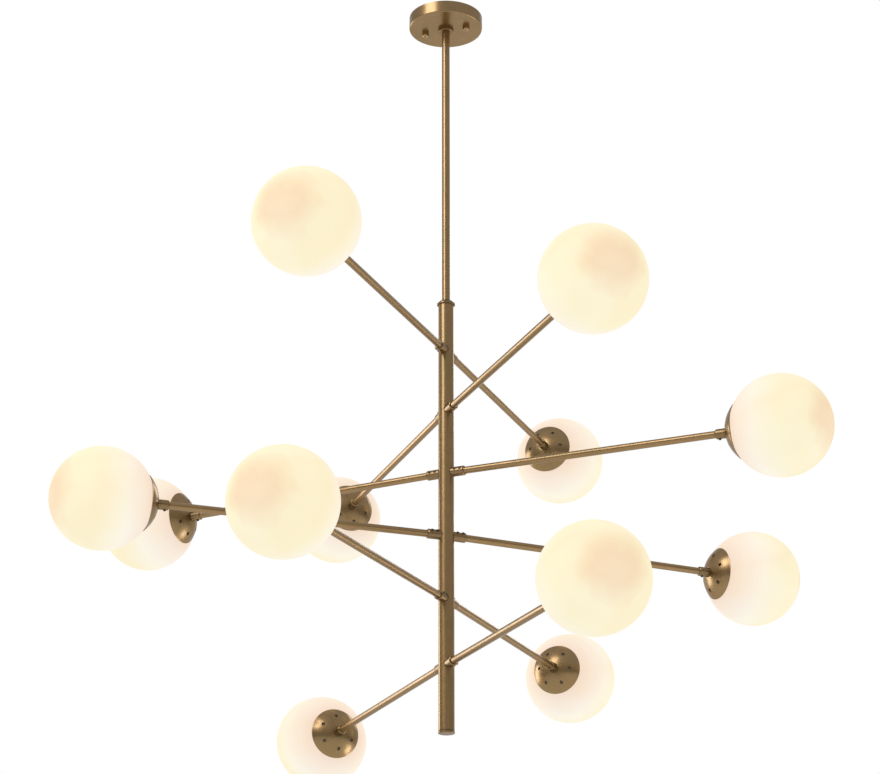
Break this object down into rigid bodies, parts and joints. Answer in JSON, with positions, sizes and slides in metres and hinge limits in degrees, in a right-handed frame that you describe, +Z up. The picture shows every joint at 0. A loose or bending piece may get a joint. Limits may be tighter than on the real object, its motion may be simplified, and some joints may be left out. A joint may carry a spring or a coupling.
{
  "type": "sputnik chandelier",
  "caption": "Hanging ceiling light: straight brass arms turn in even steps down a central column, each ending in a vented dish that holds an opal glass globe.",
  "frame": {"origin": "midway between the two ceiling screws, in the plane of the ceiling and on the column's axis", "axes": "+Z up to the ceiling; in the picture's view +X is to the right and +Y points away from the viewer"},
  "size_m": [1.1332, 1.1493, 1.1947],
  "materials": {
    "antique_brass": "brushed, dark antique brass under clear lacquer",
    "brass_screws": "dark antique brass",
    "plated_steel": "zinc plated",
    "opal_glass": "opal white, satin",
    "lamp_glass": "frosted",
    "lampholder_ceramic": "matt white",
    "terminal_plastic": "natural polyamide"
  },
  "bodies": {
    "frame": {"arm_1_front": "antique_brass", "arm_1_rear": "antique_brass", "arm_2_front": "antique_brass", "arm_2_rear": "antique_brass", "arm_3_front": "antique_brass", "arm_3_rear": "antique_brass", "arm_4_front": "antique_brass", "arm_4_rear": "antique_brass", "arm_5_front": "antique_brass", "arm_5_rear": "antique_brass", "arm_6_front": "antique_brass", "arm_6_rear": "antique_brass", "arm_couplings": "antique_brass", "arm_sleeves": "antique_brass", "bracket_studs": "plated_steel", "ceiling_bracket": "plated_steel", "column_bottom_cap": "antique_brass", "column_top_cap": "antique_brass", "column_tube": "antique_brass", "coupling_set_screws": "brass_screws", "earth_screw": "plated_steel", "holder_1_front": "antique_brass", "holder_1_rear": "antique_brass", "holder_2_front": "antique_brass", "holder_2_rear": "antique_brass", "holder_3_front": "antique_brass", "holder_3_rear": "antique_brass", "holder_4_front": "antique_brass", "holder_4_rear": "antique_brass", "holder_5_front": "antique_brass", "holder_5_rear": "antique_brass", "holder_6_front": "antique_brass", "holder_6_rear": "antique_brass", "lampholders": "lampholder_ceramic", "lamps": "lamp_glass", "nipple_nuts": "plated_steel", "sleeve_set_screws": "brass_screws", "stem_nipple": "brass_screws", "stem_tube": "antique_brass", "stud_nuts": "plated_steel", "terminal_block": "terminal_plastic", "top_nipple": "brass_screws"},
    "canopy_body": {"canopy": "antique_brass", "canopy_collar": "antique_brass", "canopy_cap_nuts": "antique_brass"},
    "glass_1_front": {"globe_1_front": "opal_glass"},
    "glass_1_rear": {"globe_1_rear": "opal_glass"},
    "glass_2_front": {"globe_2_front": "opal_glass"},
    "glass_2_rear": {"globe_2_rear": "opal_glass"},
    "glass_3_front": {"globe_3_front": "opal_glass"},
    "glass_3_rear": {"globe_3_rear": "opal_glass"},
    "glass_4_front": {"globe_4_front": "opal_glass"},
    "glass_4_rear": {"globe_4_rear": "opal_glass"},
    "glass_5_front": {"globe_5_front": "opal_glass"},
    "glass_5_rear": {"globe_5_rear": "opal_glass"},
    "glass_6_front": {"globe_6_front": "opal_glass"},
    "glass_6_rear": {"globe_6_rear": "opal_glass"}
  },
  "joints": [
    {"name": "canopy_lower", "type": "slide", "parent": "frame", "child": "canopy_body", "axis": [0, 0, -1], "range_m": [0, 0.25]},
    {"name": "globe_1_front_off", "type": "slide", "parent": "frame", "child": "glass_1_front", "axis": [-0.3567, -0.9341, -0.0162], "range_m": [0, 0.07]},
    {"name": "globe_1_rear_off", "type": "slide", "parent": "frame", "child": "glass_1_rear", "axis": [0.377, 0.926, -0.0197], "range_m": [0, 0.07]},
    {"name": "globe_2_front_off", "type": "slide", "parent": "frame", "child": "glass_2_front", "axis": [0.3673, -0.93, 0.0134], "range_m": [0, 0.07]},
    {"name": "globe_2_rear_off", "type": "slide", "parent": "frame", "child": "glass_2_rear", "axis": [-0.3533, 0.9349, -0.0337], "range_m": [0, 0.07]},
    {"name": "globe_3_front_off", "type": "slide", "parent": "frame", "child": "glass_3_front", "axis": [0.8979, -0.4399, -0.0136], "range_m": [0, 0.07]},
    {"name": "globe_3_rear_off", "type": "slide", "parent": "frame", "child": "glass_3_rear", "axis": [-0.9032, 0.4289, -0.0188], "range_m": [0, 0.07]},
    {"name": "globe_4_front_off", "type": "slide", "parent": "frame", "child": "glass_4_front", "axis": [-0.9224, -0.3859, -0.0145], "range_m": [0, 0.07]},
    {"name": "globe_4_rear_off", "type": "slide", "parent": "frame", "child": "glass_4_rear", "axis": [0.9187, 0.3947, -0.0136], "range_m": [0, 0.07]},
    {"name": "globe_5_front_off", "type": "slide", "parent": "frame", "child": "glass_5_front", "axis": [-0.3987, -0.917, -0.0092], "range_m": [0, 0.07]},
    {"name": "globe_5_rear_off", "type": "slide", "parent": "frame", "child": "glass_5_rear", "axis": [0.3963, 0.9181, -0.0049], "range_m": [0, 0.07]},
    {"name": "globe_6_front_off", "type": "slide", "parent": "frame", "child": "glass_6_front", "axis": [0.3501, -0.9365, -0.0197], "range_m": [0, 0.07]},
    {"name": "globe_6_rear_off", "type": "slide", "parent": "frame", "child": "glass_6_rear", "axis": [-0.3906, 0.9203, -0.0215], "range_m": [0, 0.07]}
  ]
}
